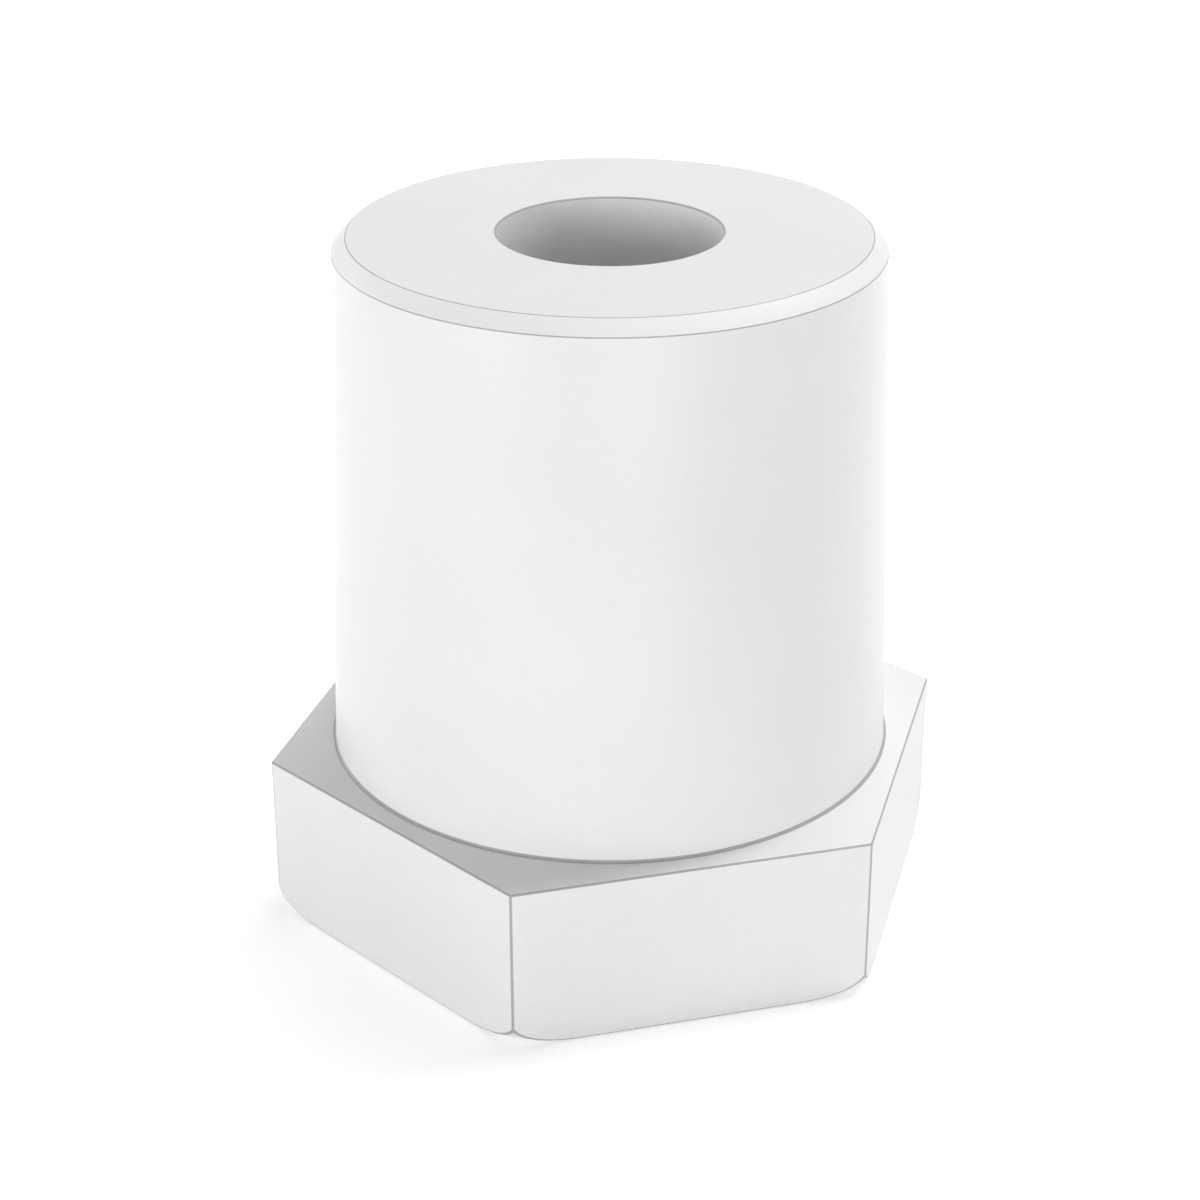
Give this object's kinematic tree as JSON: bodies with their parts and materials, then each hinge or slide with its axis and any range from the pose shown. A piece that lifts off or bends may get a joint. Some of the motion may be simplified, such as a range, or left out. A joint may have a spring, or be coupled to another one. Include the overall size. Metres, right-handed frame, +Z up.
{
  "type": "reduction sleeve",
  "caption": "One-piece sleeve with a hexagonal head, a slightly tapered round body with a chamfered free end, and a plain straight hole right through.",
  "frame": {"origin": "centre of the hexagonal head's underside, which the sleeve stands on", "axes": "+Z up the hole towards the free end, two flats of the hexagon face -Y and +Y"},
  "size_m": [0.0312, 0.027, 0.0308],
  "materials": {
    "white_acetal": "white acetal bar, fine turned and milled finish, satin"
  },
  "bodies": {
    "root": {"reduction_sleeve": "white_acetal"}
  },
  "joints": []
}
